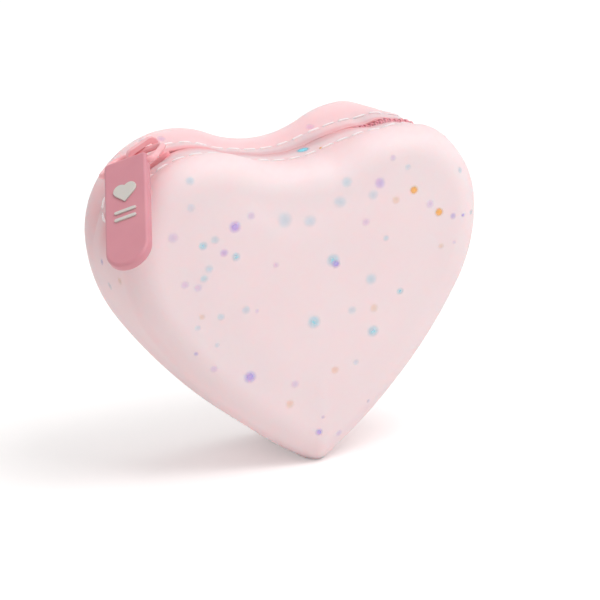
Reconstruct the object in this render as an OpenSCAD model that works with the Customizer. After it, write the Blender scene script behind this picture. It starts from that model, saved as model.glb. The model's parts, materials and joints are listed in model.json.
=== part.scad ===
// Heart shaped zip purse: a moulded soft shell that stands on its tip, a coil
// zip sunk in a valley over both lobes, and a slider with a wire ring and a tab.
// +X to the right, front face at -Y, +Z up, origin at the bottom of the tip.

/* [Body] */
// Width across both lobes
body_w = 85; // [80:0.5:92]
// Height from the tip to the top of the lobes
body_h = 75; // [70:0.5:80]
// Thickness from front face to back face
body_d = 32; // [30:0.5:40]
// Radius of each lobe's crest
lobe_r = 21.5; // [20.5:0.1:22.5]
// Radius of each side below the lobe
side_r = 35; // [30:0.5:38]
// Radius of the long flank down to the tip
flank_r = 114; // [95:1:140]
// Radius of the tip
tip_r = 4; // [3:0.1:5.5]
// Depth of the small flat under the tip
tip_cut = 0.5; // [0.3:0.1:0.8]
// Radius of the cleft between the lobes
cleft_r = 23.5; // [20:0.1:27]
// Radius of the soft edge round both faces
edge_r = 7; // [5.5:0.1:8]
// Thickness of the shell
wall = 2.2; // [1.8:0.1:2.6]

/* [Zip valley and slit] */
// Depth of the zip line under each lobe's crest
zip_depth = 2.4; // [2:0.1:2.8]
// How much farther out than the lobes the zip's arcs are centred
zip_shift = 1; // [0.6:0.1:1.4]
// How much lower than the lobes the zip's arcs are centred
zip_drop = 0.4; // [0.2:0.1:0.8]
// Depth of the valley at the bottom of the cleft
valley_depth = 3; // [2.6:0.1:3.4]
// Half width of the valley's flat floor
floor_half = 6.5; // [6:0.1:7]
// Half width of the valley at its rim
rim_half = 12.5; // [11.5:0.1:13.5]
// How far the rim stands over the outline, beside the valley
rim_rise = 0.9; // [0.6:0.1:1.2]
// Half width of the slit
slit_half = 3.7; // [3.6:0.05:4]
// Angle on the lobe at which the slit ends, from level
slit_turn = 25; // [22:0.5:28]
// Half width of the flat seat inside, under the tapes
seat_half = 9.3; // [9.2:0.1:9.6]

/* [Tapes and coil] */
// Thickness of each tape
tape_t = 0.5; // [0.4:0.05:0.6]
// Distance of each tape's inner edge from the middle
tape_in = 0.9; // [0.8:0.05:1]
// Distance of each tape's outer edge from the middle
tape_out = 9; // [8.5:0.1:9.1]
// Gap between the shell's inner face and the tapes
tape_gap = 0.1; // [0.08:0.01:0.15]
// Angle on the lobe at which the tapes end, from level
tape_turn = 21; // [20.5:0.5:22]
// Distance from one link to the next in a row
coil_pitch = 1.25; // [1.2:0.05:1.4]
// Thickness of a link along the zip
link_t = 0.52; // [0.45:0.01:0.54]
// Width of a link across the zip
link_w = 1.9; // [1.8:0.05:2]
// Height of a link
link_h = 1.4; // [1.3:0.05:1.5]
// Thickness of the monofilament that a link is bent from
link_wire = 0.4; // [0.35:0.05:0.45]
// How far a link reaches past the middle when it is closed
link_over = 0.3; // [0.25:0.05:0.35]
// Radius of the filler cord in each row
cord_r = 0.28; // [0.22:0.01:0.29]
// How far each row moves aside where the zip is open
coil_spread = 1; // [0.95:0.05:1.1]
// Angle on the left lobe at which both rows begin
coil_from = 140; // [139:0.5:141]
// Angle on the right lobe at which both rows end
coil_to = 38.5; // [38:0.5:40]
// Length of each top stop along the zip
top_stop_l = 1.4; // [1.2:0.1:1.6]
// Length of the bottom stop along the zip
bottom_stop_l = 2.4; // [2:0.1:2.6]

/* [Slider] */
// Angle on the left lobe at which the slider rests
slider_turn = 115; // [110:0.5:118]
// Length of the slider
slider_l = 9; // [8.6:0.1:9.4]
// Half width of the slider at its nose
nose_half = 3.3; // [3.25:0.05:3.4]
// Half width of the slider at its rear
rear_half = 2.5; // [2.4:0.05:2.6]
// Thickness of the slider's top plate
plate_t = 1.1; // [1:0.05:1.2]
// Height of the top plate's upper face over the valley floor
plate_up = 0.6; // [0.5:0.05:0.7]
// Thickness of the slider's lower plate
sole_t = 0.9; // [0.8:0.05:1]
// Length of the slider's bridge
lug_l = 7.6; // [7.4:0.1:7.9]
// Width of the bridge across the slider
lug_w = 1.5; // [1.4:0.05:1.6]
// Thickness of the bridge's strap
lug_t = 1.1; // [1:0.05:1.2]
// Height of the hollow under the bridge
lug_h = 3.1; // [2.9:0.05:3.4]

/* [Ring and tab] */
// Diameter of the ring's wire
ring_wire = 1.4; // [1.2:0.1:1.5]
// Width of the ring between wire centres
ring_w = 12.8; // [12.7:0.1:13.2]
// Length of the ring between wire centres
ring_l = 10.5; // [10:0.1:11]
// Bend radius of the ring at the slider
ring_bend = 3; // [2.5:0.1:3.2]
// Bend radius of the ring at the tab
ring_bend_tab = 1.2; // [1:0.1:1.2]
// Turn of the ring about the lug, from the zip line
ring_yaw = 35; // [34:1:40]
// Tilt of the ring's width toward the cleft
ring_tilt_angle = 1; // [0:0.5:3]
// Sideways place of the ring in the lug
ring_off = 1; // [0.6:0.1:1.4]
// Swing of the ring at rest, downward from the zip line
ring_swing = -11; // [-16:0.5:-11]
// Swing of the tab at rest, downward from the zip line
tab_swing = 22; // [12:0.5:22]
// Width of the tab
tab_w = 10.3; // [10:0.1:10.3]
// Length of the tab
tab_l = 30; // [26:0.5:32]
// Thickness of the tab
tab_t = 2.4; // [2.3:0.1:2.5]
// Distance of the ring's hole from the tab's top edge
tab_hole = 1.9; // [1.8:0.1:2.2]
// Clearance round the wire in the tab, on the radius
tab_fit = 0.08; // [0.05:0.01:0.1]
// Cut corner at the top of the tab
tab_clip = 1; // [0.8:0.1:1.2]
// Height of the raised motif over the tab
motif_t = 0.4; // [0.3:0.05:0.6]
// Radius of each lobe of the motif's heart
motif_r = 1.6; // [1.4:0.1:1.8]

/* [Hidden] */
$fn = 48;

// Outline of the front face, as arcs in the X-Z plane
half_d = body_d / 2;
lobe = [body_w / 2 - lobe_r, body_h - lobe_r];
side = [body_w / 2 - side_r, lobe[1]];
tip = [0, tip_r - tip_cut];
cleft = [0, lobe[1] + sqrt(pow(cleft_r + lobe_r, 2) - pow(lobe[0], 2))];

// Centre of the circle that both given circles touch from inside, on the left
function around(a, ra, b, rb, r) =
    let(da = r - ra, db = r - rb, ab = b - a, l = norm(ab))
    let(m = (da * da - db * db + l * l) / (2 * l), h = sqrt(da * da - m * m))
    a + ab / l * m + [ab[1], -ab[0]] / l * h;
flank = around(side, side_r, tip, tip_r, flank_r);

// The zip line: two arcs over the lobes and one through the cleft
zip_r = lobe_r - zip_depth;
zip_lobe = [lobe[0] + zip_shift, lobe[1] - zip_drop];
dip = cleft[1] - cleft_r - valley_depth - zip_lobe[1];
zip_cleft_r = (zip_r * zip_r - zip_lobe[0] * zip_lobe[0] - dip * dip) / (2 * (dip - zip_r));
zip_cleft = [0, zip_lobe[1] + dip + zip_cleft_r];
cleft_turn = atan2(zip_lobe[0], zip_cleft[1] - zip_lobe[1]);
join_turn = 90 + cleft_turn;

// The loft is turned about a point inside the heart that sees all of its outline
core_z = 40;
core = [0, core_z];
function angle_of(p) = atan2(p[1] - core_z, p[0]);
function on_circle(c, r, turn) = c + r * [cos(turn), sin(turn)];
function toward(a, b) = (b - a) / norm(b - a);
function folded(phi) = phi > 90 ? 180 - phi : phi;

// Distance from the core to a circle, to its far side (+1) or its near side (-1)
function reach(phi, c, r, far) =
    let(d = [cos(phi), sin(phi)], o = core - c, b = o * d)
    -b + far * sqrt(max(b * b - o * o + r * r, 0));

phi_tip = angle_of(tip + tip_r * toward(flank, tip));
phi_side = angle_of(side + side_r * toward(flank, side));
phi_lobe = angle_of([body_w / 2, lobe[1]]);
phi_cleft = angle_of(lobe + lobe_r * toward(lobe, cleft));
function arc_at(phi) =
    phi < phi_tip ? [tip, tip_r, 1] :
    phi < phi_side ? [flank, flank_r, 1] :
    phi < phi_lobe ? [side, side_r, 1] :
    phi < phi_cleft ? [lobe, lobe_r, 1] : [cleft, cleft_r, -1];
function outline(phi) = let(a = arc_at(phi)) reach(phi, a[0], a[1], a[2]);
// Cosine between the outline's normal and the ray from the core
function facing(phi) =
    let(a = arc_at(phi), d = [cos(phi), sin(phi)], p = core + outline(phi) * d)
    a[2] * ((p - a[0]) * d) / a[1];

// Distance from the core to the zip line, or to its copy a given depth below
function zip_join(deep) = angle_of(on_circle(zip_lobe, zip_r - deep, join_turn));
function zip_line(phi, deep) = phi < zip_join(deep)
    ? reach(phi, zip_lobe, zip_r - deep, 1)
    : reach(phi, zip_cleft, zip_cleft_r + deep, -1);

// The valley is whole to a little past the slit and then fades to nothing
valley_lead_turn = 5;
valley_fade_turn = 15;
phi_slit = angle_of(on_circle(zip_lobe, zip_r, slit_turn));
phi_whole = angle_of(on_circle(zip_lobe, zip_r, slit_turn - valley_lead_turn));
function smooth(t) = let(u = min(max(t, 0), 1)) u * u * (3 - 2 * u);
function valley(phi) = smooth((phi - phi_whole + valley_fade_turn) / valley_fade_turn);
function dished(y, from, to) = let(u = min(max((y - from) / (to - from), 0), 1)) pow(cos(90 * u), 2);
function edge_inset(y, from, r) = y <= from ? 0 : r - sqrt(max(r * r - pow(y - from, 2), 0));

// Half width of the slit along the path, round at its ends
closed_share = 0.001;
function slit(phi) =
    let(p = core + zip_line(phi, 0) * [cos(phi), sin(phi)])
    let(turn = phi < zip_join(0) ? atan2(p[1] - zip_lobe[1], p[0] - zip_lobe[0]) : 90)
    let(s = (turn - slit_turn) * PI / 180 * zip_r)
    phi < phi_slit || s < slit_half * closed_share ? 0 : s > slit_half ? slit_half : sqrt(pow(slit_half, 2) - pow(slit_half - s, 2));

// Levels across the thickness, after the lip of the slit
edge_from = half_d - edge_r;
in_half = half_d - wall;
in_edge_r = edge_r - wall;
in_rim_half = rim_half + 0.1 * (in_half - rim_half);
rim_steps = 3;
edge_steps = 4;
in_edge_steps = 2;
function levels(from, rim, start, r, steps) =
    let(a = asin((rim - start) / r))
    concat([for (k = [0:rim_steps]) from + (rim - from) * k / rim_steps],
        [for (k = [1:steps]) start + r * sin(a + (90 - a) * k / steps)]);
out_y = levels(floor_half, rim_half, edge_from, edge_r, edge_steps);
in_y = levels(seat_half, in_rim_half, edge_from, in_edge_r, in_edge_steps);
n_out = len(out_y) + 1;
n_in = len(in_y) + 1;

function out_rho(phi, y) = let(r = outline(phi) + rim_rise * valley(phi) / facing(phi))
    r - edge_inset(y, edge_from, edge_r) / facing(phi)
    - (r - zip_line(phi, 0)) * valley(phi) * dished(y, floor_half, rim_half);
function in_rho(phi, y) = let(r = outline(phi) + (rim_rise * valley(phi) - wall) / facing(phi))
    r - edge_inset(y, edge_from, in_edge_r) / facing(phi)
    - (r - zip_line(phi, wall)) * valley(phi) * dished(y, seat_half, in_rim_half);
// The tip is cut flat
function cut(phi, rho) = sin(phi) < 0 ? min(rho, core_z / -sin(phi)) : rho;

// Stations round the right half, from the tip up to the cleft
tip_steps = 3;
flank_steps = 9;
side_steps = 8;
fade_steps = 5;
lobe_steps = 16;
cleft_steps = 7;
slit_end_shares = [0, 0.12, 0.33, 0.62];
flat_turn = acos((tip_r - tip_cut) / tip_r);
function spans(from, to, n) = [for (k = [0:n - 1]) from + (to - from) * k / n];
function turn_of(c, p) = atan2(p[1] - c[1], p[0] - c[0]);
slit_full_turn = slit_turn + slit_half / zip_r * 180 / PI;
right_half = concat([-90],
    [for (t = spans(-90 + flat_turn, turn_of(flank, tip), tip_steps)) angle_of(on_circle(tip, tip_r, t))],
    [for (t = spans(turn_of(flank, tip), turn_of(flank, side), flank_steps)) angle_of(on_circle(flank, flank_r, t))],
    [for (t = spans(turn_of(flank, side), 0, side_steps)) angle_of(on_circle(side, side_r, t))],
    spans(phi_lobe, phi_slit, fade_steps),
    [for (t = slit_end_shares) angle_of(on_circle(zip_lobe, zip_r, slit_turn + t * (slit_full_turn - slit_turn)))],
    [for (t = spans(slit_full_turn, join_turn, lobe_steps)) angle_of(on_circle(zip_lobe, zip_r, t))],
    [for (t = spans(-90 + cleft_turn, -90, cleft_steps)) angle_of(on_circle(zip_cleft, zip_cleft_r, t))]);
n_half = len(right_half);
stations = concat(right_half, [90], [for (k = [n_half - 1:-1:1]) 180 - right_half[k]]);
n_st = len(stations);

function at(phi, rho, y) = [rho * cos(phi), y, core_z + rho * sin(phi)];
function row(phi, way) = let(f = folded(phi), w = slit(f))
    concat([at(phi, cut(f, out_rho(f, w)), way * w)],
        [for (y = out_y) at(phi, cut(f, out_rho(f, y)), way * y)],
        [at(phi, in_rho(f, w), way * w)],
        [for (y = in_y) at(phi, in_rho(f, y), way * y)]);
n_row = n_out + n_in;
shell_points = concat(
    [for (phi = stations) for (way = [-1, 1]) for (p = row(phi, way)) p],
    [[0, -half_d, core_z], [0, half_d, core_z], [0, -in_half, core_z], [0, in_half, core_z]]);
open_at = [for (phi = stations) slit(folded(phi)) > 0];
function id(i, back, level) = let(k = i % n_st)
    (2 * k + (back && !(!open_at[k] && (level == 0 || level == n_out)) ? 1 : 0)) * n_row + level;
hub = 2 * n_row * n_st;

// Two triangles on four points, turned over for the back half or the inner skin
function quad(a, b, c, d, over) = over ? [[a, b, c], [a, c, d]] : [[a, d, c], [a, c, b]];
function tri(a, b, c, over) = over ? [a, c, b] : [a, b, c];
function strip(i, back, from, to, over) = [for (j = [from:to - 1]) for (f = quad(id(i, back, j),
    id(i + 1, back, j), id(i + 1, back, j + 1), id(i, back, j + 1), over)) f];
function lip(i, back) = open_at[i] || open_at[(i + 1) % n_st]
    ? [for (f = quad(id(i, back, 0), id(i + 1, back, 0), id(i + 1, back, n_out), id(i, back, n_out), !back))
        if (f[0] != f[1] && f[1] != f[2] && f[2] != f[0]) f]
    : [];
shell_faces = [for (i = [0:n_st - 1]) for (back = [false, true]) for (f = concat(
    strip(i, back, 0, n_out - 1, back),
    strip(i, back, n_out, n_row - 1, !back),
    lip(i, back),
    [tri(hub + (back ? 1 : 0), id(i + 1, back, n_out - 1), id(i, back, n_out - 1), back)],
    [tri(hub + (back ? 3 : 2), id(i + 1, back, n_row - 1), id(i, back, n_row - 1), !back)])) f];

module shell() {
    color("#f0cdcd")
    polyhedron(points = shell_points, faces = shell_faces, convexity = 10);
}

// Lengths along the zip line, from the rows' left end
function turns(l, r) = l / r * 180 / PI;
left_len = (coil_from - 180 + join_turn) * PI / 180 * zip_r;
mid_len = 2 * cleft_turn * PI / 180 * zip_cleft_r;
right_len = (join_turn - coil_to) * PI / 180 * zip_r;
coil_len = left_len + mid_len + right_len;
slider_s = (coil_from - slider_turn) * PI / 180 * zip_r;

// Places children on the zip line: x along it toward the right, z outward
module on_path(s) {
    if (s < left_len)
        translate([-zip_lobe[0], 0, zip_lobe[1]])
        rotate([0, 90 - coil_from + turns(s, zip_r), 0])
        translate([0, 0, zip_r])
        children();
    else if (s < left_len + mid_len)
        translate([0, 0, zip_cleft[1]])
        rotate([0, cleft_turn - turns(s - left_len, zip_cleft_r), 0])
        translate([0, 0, -zip_cleft_r])
        children();
    else
        translate([zip_lobe[0], 0, zip_lobe[1]])
        rotate([0, 90 - join_turn + turns(s - left_len - mid_len, zip_r), 0])
        translate([0, 0, zip_r])
        children();
}

// The same place as a point: y across the zip, z outward
function path_point(s, y, z) =
    let(left = coil_from - turns(s, zip_r))
    let(mid = turns(s - left_len, zip_cleft_r) - cleft_turn - 90)
    let(right = join_turn - turns(s - left_len - mid_len, zip_r))
    let(p = s < left_len ? on_circle([-zip_lobe[0], zip_lobe[1]], zip_r + z, left) :
        s < left_len + mid_len ? on_circle(zip_cleft, zip_cleft_r - z, mid) :
        on_circle(zip_lobe, zip_r + z, right))
    [p[0], y, p[1]];

// A strip swept along the zip line from rings of the same number of points
module strip_along(rings) {
    m = len(rings[0]);
    n = len(rings);
    sides = [for (i = [0:n - 2]) for (k = [0:m - 1])
        for (f = quad(i * m + k, i * m + (k + 1) % m, (i + 1) * m + (k + 1) % m, (i + 1) * m + k, false)) f];
    polyhedron(points = [for (r = rings) for (p = r) p], convexity = 6,
        faces = concat(sides, [[for (k = [0:m - 1]) k], [for (k = [m - 1:-1:0]) (n - 1) * m + k]]));
}
strip_step = 1.5;
function steps_between(from, to) = let(n = ceil((to - from) / strip_step)) [for (k = [0:n]) from + (to - from) * k / n];

tape_z = -wall - tape_gap;
tape_lead = (180 - tape_turn - coil_from) * PI / 180 * zip_r;
tape_tail = (coil_to - tape_turn) * PI / 180 * zip_r;
module tape() {
    color("#e79aa8")
    strip_along([for (s = steps_between(-tape_lead, coil_len + tape_tail))
        [for (q = [[-tape_out, -tape_t], [-tape_in, -tape_t], [-tape_in, 0], [-tape_out, 0]])
            path_point(s, q[0], tape_z + q[1])]]);
}
module tape_front() {
    tape();
}
module tape_back() {
    mirror([0, 1, 0]) tape();
}

// One closed link of the coil, standing on its tape
link_gap = 0.02;
link_z = tape_z + link_gap + link_h / 2;
link_y = link_w / 2 - link_over;
module slot_shape(w, h) {
    square([w - h, h], center = true);
    for (way = [-1, 1])
        translate([way * (w - h) / 2, 0])
        circle(d = h, $fn = 24);
}
module coil_link() {
    translate([-link_t / 2, 0, 0])
    rotate([90, 0, 90])
    linear_extrude(link_t)
    difference() {
        slot_shape(link_w, link_h);
        slot_shape(link_w - 2 * link_wire, link_h - 2 * link_wire);
    }
}

// The rows part inside the slider, between these places along it
rows_meet = 1;
rows_free = -2.2;
function spread(s) = coil_spread * min(max((rows_meet - s + slider_s) / (rows_meet - rows_free), 0), 1);
module coil(first) {
    color("#d9808f")
    for (s = [first:coil_pitch:coil_len - link_t / 2])
        on_path(s)
        translate([0, -link_y - spread(s), link_z])
        coil_link();
}
module coil_front() {
    coil(coil_pitch / 2);
}
module coil_back() {
    mirror([0, 1, 0]) coil(coil_pitch);
}

// The filler cord of a row runs through the middle of its links
cord_side_count = 8;
module filler() {
    color("#f2dfe0")
    strip_along([for (s = steps_between(0, coil_len))
        [for (k = [0:cord_side_count - 1]) let(t = 360 * k / cord_side_count)
            path_point(s, -link_y - spread(s) + cord_r * cos(t), link_z + cord_r * sin(t))]]);
}
module cord_front() {
    filler();
}
module cord_back() {
    mirror([0, 1, 0]) filler();
}

// Stops are blocks with a groove that grips the edge of the tape
stop_lip = 0.25;
stop_up = 1.5;
grip = 0.03;
stop_back = 0.3;
module stop_block(l, from, to) {
    difference() {
        translate([-l / 2, from, tape_z - tape_t - stop_lip])
            cube([l, to - from, tape_t + stop_lip + stop_up]);
        translate([-l, tape_in - grip, tape_z - tape_t - grip])
            cube([2 * l, tape_out, tape_t + 2 * grip]);
        translate([-l, -tape_in + grip - tape_out, tape_z - tape_t - grip])
            cube([2 * l, tape_out, tape_t + 2 * grip]);
    }
}
module top_stop() {
    color("#cf7383")
    on_path(-stop_back - top_stop_l)
    mirror([0, 1, 0])
    stop_block(top_stop_l, coil_spread - link_over - grip, link_w + coil_spread - link_over + grip);
}
module top_stop_front() {
    top_stop();
}
module top_stop_back() {
    mirror([0, 1, 0]) top_stop();
}
module bottom_stop() {
    color("#cf7383")
    on_path(coil_len + stop_back + bottom_stop_l / 2)
    stop_block(bottom_stop_l, -link_w, link_w);
}

// The slider's plates share one outline, wide at the nose and narrow at the rear
nose_shares = [[-0.5, 0.58], [-0.47, 0.74], [-0.41, 0.9], [-0.33, 0.98], [-0.25, 1]];
rear_shares = [[0.2, 1.02], [0.38, 1], [0.44, 0.96], [0.48, 0.88], [0.5, 0.76]];
slider_side = concat([for (p = nose_shares) [p[0] * slider_l, p[1] * nose_half]],
    [for (p = rear_shares) [p[0] * slider_l, p[1] * rear_half]]);
module slider_shape() {
    polygon(concat(slider_side, [for (k = [len(slider_side) - 1:-1:0]) [slider_side[k][0], -slider_side[k][1]]]));
}
channel_gap = 0.2;
closed_half = link_w - link_over;
module channel_shape() {
    rear = closed_half + channel_gap + channel_gap / 4;
    nose = closed_half + coil_spread + channel_gap * 3 / 4;
    polygon([[-slider_l, nose], [rows_free, nose], [rows_meet, rear], [slider_l, rear],
        [slider_l, -rear], [rows_meet, -rear], [rows_free, -nose], [-slider_l, -nose]]);
}
flange_down = 1.95;
sole_up = 3.4;
post_share = 0.46;
post_end = -1.2;
post_half = 0.6;
post_point = 0.15;
hollow_l = lug_l - 2 * lug_t;
lug_round = 0.9;
module lug_side(l, h, r) {
    translate([-l / 2, 0]) square([l, h - r]);
    translate([-l / 2 + r, 0]) square([l - 2 * r, h]);
    for (way = [-1, 1])
        translate([way * (l / 2 - r), h - r])
        circle(r, $fn = 32);
}
module slider_at_rest() {
    on_path(slider_s) children();
}
module slider() {
    color("#f0a3ae")
    slider_at_rest() {
        translate([0, 0, plate_up - plate_t]) linear_extrude(plate_t) slider_shape();
        translate([0, 0, -flange_down]) linear_extrude(flange_down + plate_up - plate_t / 2)
            difference() {
                slider_shape();
                channel_shape();
            }
        translate([0, 0, -sole_up - sole_t]) linear_extrude(sole_t) slider_shape();
        translate([0, 0, -sole_up - sole_t / 2]) linear_extrude(sole_up + plate_up)
            polygon([[-post_share * slider_l, post_half], [post_end, post_point],
                [post_end, -post_point], [-post_share * slider_l, -post_half]]);
        translate([0, lug_w / 2, plate_up]) rotate([90, 0, 0]) linear_extrude(lug_w)
            difference() {
                lug_side(lug_l, lug_h + lug_t, lug_round + lug_t / 2);
                translate([0, -lug_t]) lug_side(hollow_l, lug_h + lug_t, lug_round);
            }
    }
}

// A round wire between two points
module rod(p, q, r) {
    d = q - p;
    translate(p)
    rotate([0, acos(d[2] / norm(d)), atan2(d[1], d[0])])
    cylinder(h = norm(d), r = r, $fn = 32);
}

// The ring hangs in the hollow of the bridge and is drawn in its own plane
ring_drop = 0.15;
ring_z = plate_up + lug_h - ring_wire / 2 - ring_drop;
module at_lug() {
    slider_at_rest()
    translate([0, 0, ring_z])
    rotate([0, 0, -ring_yaw])
    rotate([0, ring_tilt_angle, 0])
    translate([-ring_off, 0, 0])
    children();
}
module bend(r, from) {
    rotate([0, 0, from])
    rotate_extrude(angle = 90, $fn = 60)
    translate([r, 0])
    circle(d = ring_wire, $fn = 32);
}
module wire(p, q) {
    rod([p[0], p[1], 0], [q[0], q[1], 0], ring_wire / 2);
}
module pull_ring() {
    hw = ring_w / 2;
    color("#f0a3ae")
    at_lug()
    rotate([ring_swing, 0, 0]) {
        wire([-hw + ring_bend, 0], [hw - ring_bend, 0]);
        wire([-hw + ring_bend_tab, -ring_l], [hw - ring_bend_tab, -ring_l]);
        for (way = [-1, 1])
            wire([way * hw, -ring_bend], [way * hw, -ring_l + ring_bend_tab]);
        translate([hw - ring_bend, -ring_bend, 0]) bend(ring_bend, 0);
        translate([-hw + ring_bend, -ring_bend, 0]) bend(ring_bend, 90);
        translate([-hw + ring_bend_tab, -ring_l + ring_bend_tab, 0]) bend(ring_bend_tab, 180);
        translate([hw - ring_bend_tab, -ring_l + ring_bend_tab, 0]) bend(ring_bend_tab, 270);
    }
}

// The tab turns on the ring's far bar
module at_bar() {
    at_lug()
    rotate([ring_swing, 0, 0])
    translate([0, -ring_l, 0])
    rotate([tab_swing - ring_swing, 0, 0])
    children();
}
cut_over = 1;
module puller() {
    round_y = -tab_l + tab_hole + tab_w / 2;
    color("#cf8791")
    at_bar()
    difference() {
        translate([0, 0, -tab_t / 2]) linear_extrude(tab_t) {
            polygon([[-tab_w / 2, round_y], [tab_w / 2, round_y], [tab_w / 2, tab_hole - tab_clip],
                [tab_w / 2 - tab_clip, tab_hole], [-tab_w / 2 + tab_clip, tab_hole], [-tab_w / 2, tab_hole - tab_clip]]);
            translate([0, round_y]) circle(tab_w / 2, $fn = 96);
        }
        translate([-tab_w / 2 - cut_over, 0, 0]) rotate([0, 90, 0])
            cylinder(h = tab_w + 2 * cut_over, r = ring_wire / 2 + tab_fit);
    }
}

// A plain heart and two bars, raised on the tab's front
motif_y = -8.5;
motif_steps = 10;
bar_l = 5.2;
bar_w = 0.8;
bar_step = 2;
motif_lobe = [motif_r * cos(45), motif_r * cos(45)];
module puller_motif() {
    right = [for (k = [0:motif_steps]) let(t = -45 + 180 * k / motif_steps) motif_lobe + motif_r * [cos(t), sin(t)]];
    left = [for (k = [motif_steps - 1:-1:0]) [-right[k][0], right[k][1]]];
    color("#cfc9c2")
    at_bar()
    translate([0, motif_y, tab_t / 2]) {
        linear_extrude(motif_t) polygon(concat(right, left, [[0, -2 * motif_lobe[1]]]));
        for (k = [1:2])
            translate([-bar_l / 2, -2 * motif_r - k * bar_step, 0]) cube([bar_l, bar_w, motif_t]);
    }
}

shell();
tape_front();
tape_back();
coil_front();
coil_back();
cord_front();
cord_back();
top_stop_front();
top_stop_back();
bottom_stop();
slider();
pull_ring();
puller();
puller_motif();
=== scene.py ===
import json
import math
import random
import bmesh
import bpy
from mathutils import Matrix, Vector, noise
from mathutils.bvhtree import BVHTree


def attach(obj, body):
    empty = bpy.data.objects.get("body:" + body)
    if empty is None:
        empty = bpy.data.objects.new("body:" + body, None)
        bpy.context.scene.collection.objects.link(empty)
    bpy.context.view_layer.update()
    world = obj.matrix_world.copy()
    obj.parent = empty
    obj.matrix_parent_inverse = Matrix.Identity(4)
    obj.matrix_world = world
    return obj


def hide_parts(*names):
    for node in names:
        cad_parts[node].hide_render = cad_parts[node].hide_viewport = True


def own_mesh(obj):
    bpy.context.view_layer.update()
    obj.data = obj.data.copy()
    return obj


# A small silicone coin purse in the shape of a heart, with a coil zip over its top and a soft tab on the
# slider. Lengths are in millimetres, as in the CAD source, and MM turns them to metres.
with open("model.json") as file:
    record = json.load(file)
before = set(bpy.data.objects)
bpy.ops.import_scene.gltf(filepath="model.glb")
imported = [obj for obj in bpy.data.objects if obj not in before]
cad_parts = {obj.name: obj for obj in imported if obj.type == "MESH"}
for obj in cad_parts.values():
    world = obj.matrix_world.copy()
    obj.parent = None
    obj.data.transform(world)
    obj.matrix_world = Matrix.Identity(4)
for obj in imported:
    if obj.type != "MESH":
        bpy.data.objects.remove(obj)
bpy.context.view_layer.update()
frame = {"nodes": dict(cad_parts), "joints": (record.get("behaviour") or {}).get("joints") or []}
MM = 0.001

# Camera
# It stands left of the front and a little above, slightly rolled, where the photograph's outline puts it.
AZIMUTH = math.radians(-23.13)
ELEVATION = math.radians(15.27)
ROLL = math.radians(-3.86)
CAMERA_DISTANCE = 795
CAMERA_TARGET = Vector((0, 0, 37.5))
LENS = 214.8
SENSOR = 36
SHIFT = (0.0242, -0.0243)

camera_back = Vector((
    math.sin(AZIMUTH) * math.cos(ELEVATION),
    -math.cos(AZIMUTH) * math.cos(ELEVATION),
    math.sin(ELEVATION)))
camera_right = Matrix.Rotation(ROLL, 3, camera_back) @ Vector((math.cos(AZIMUTH), math.sin(AZIMUTH), 0))
camera_up = camera_back.cross(camera_right)
camera_place = CAMERA_TARGET + CAMERA_DISTANCE * camera_back
camera_data = bpy.data.cameras.new("Camera")
camera_data.lens = LENS
camera_data.sensor_width = SENSOR
camera_data.shift_x, camera_data.shift_y = SHIFT
camera = bpy.data.objects.new("Camera", camera_data)
bpy.context.collection.objects.link(camera)
camera_turn = Matrix((camera_right, camera_up, camera_back)).transposed()
camera.matrix_world = Matrix.Translation(camera_place * MM) @ camera_turn.to_4x4()
bpy.context.scene.camera = camera

# Silicone heart
# One moulded, hollow shell of soft translucent silicone, with a sunken valley over both lobes and a slit.
# Its wall is a loft with a section at each ray from the core. A section runs from the middle of a face over
# the band to the slit, and back inside.
HALF_W = 42.5
HEIGHT = 75
HALF_D = 16
LOBE_R = 21.5
SIDE_R = 35
FLANK_R = 114
TIP_R = 4
TIP_CUT = 0.5
CLEFT_R = 23.5
EDGE_R = 7
BAND_HALF = HALF_D - EDGE_R
WALL = 2.2
CORE_Z = 40
ZIP_DEPTH = 2.4
ZIP_SHIFT = 1
ZIP_DROP = 0.4
VALLEY_DEPTH = 3
FLOOR_HALF = 6.5
RIM_HALF = 12.5
SEAT_HALF = 9.3
SLIT_TURN = math.radians(25)
WHOLE_TURN = math.radians(20)
FADE_TURN = math.radians(15)
UP = math.pi / 2

LOBE = Vector((HALF_W - LOBE_R, HEIGHT - LOBE_R))
SIDE = Vector((HALF_W - SIDE_R, LOBE.y))
TIP = Vector((0, TIP_R - TIP_CUT))
CLEFT = Vector((0, LOBE.y + math.sqrt((CLEFT_R + LOBE_R) ** 2 - LOBE.x ** 2)))
CORE = Vector((0, CORE_Z))
ZIP_R = LOBE_R - ZIP_DEPTH
ZIP_LOBE = Vector((LOBE.x + ZIP_SHIFT, LOBE.y - ZIP_DROP))
DIP = CLEFT.y - CLEFT_R - VALLEY_DEPTH - ZIP_LOBE.y
ZIP_CLEFT_R = (ZIP_R ** 2 - ZIP_LOBE.x ** 2 - DIP ** 2) / (2 * (DIP - ZIP_R))
ZIP_CLEFT = Vector((0, ZIP_LOBE.y + DIP + ZIP_CLEFT_R))
CLEFT_TURN = math.atan2(ZIP_LOBE.x, ZIP_CLEFT.y - ZIP_LOBE.y)
JOIN_TURN = UP + CLEFT_TURN
CLEFT_RUN = CLEFT_TURN * ZIP_CLEFT_R
SLIT_END = CLEFT_RUN + (JOIN_TURN - SLIT_TURN) * ZIP_R

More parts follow.
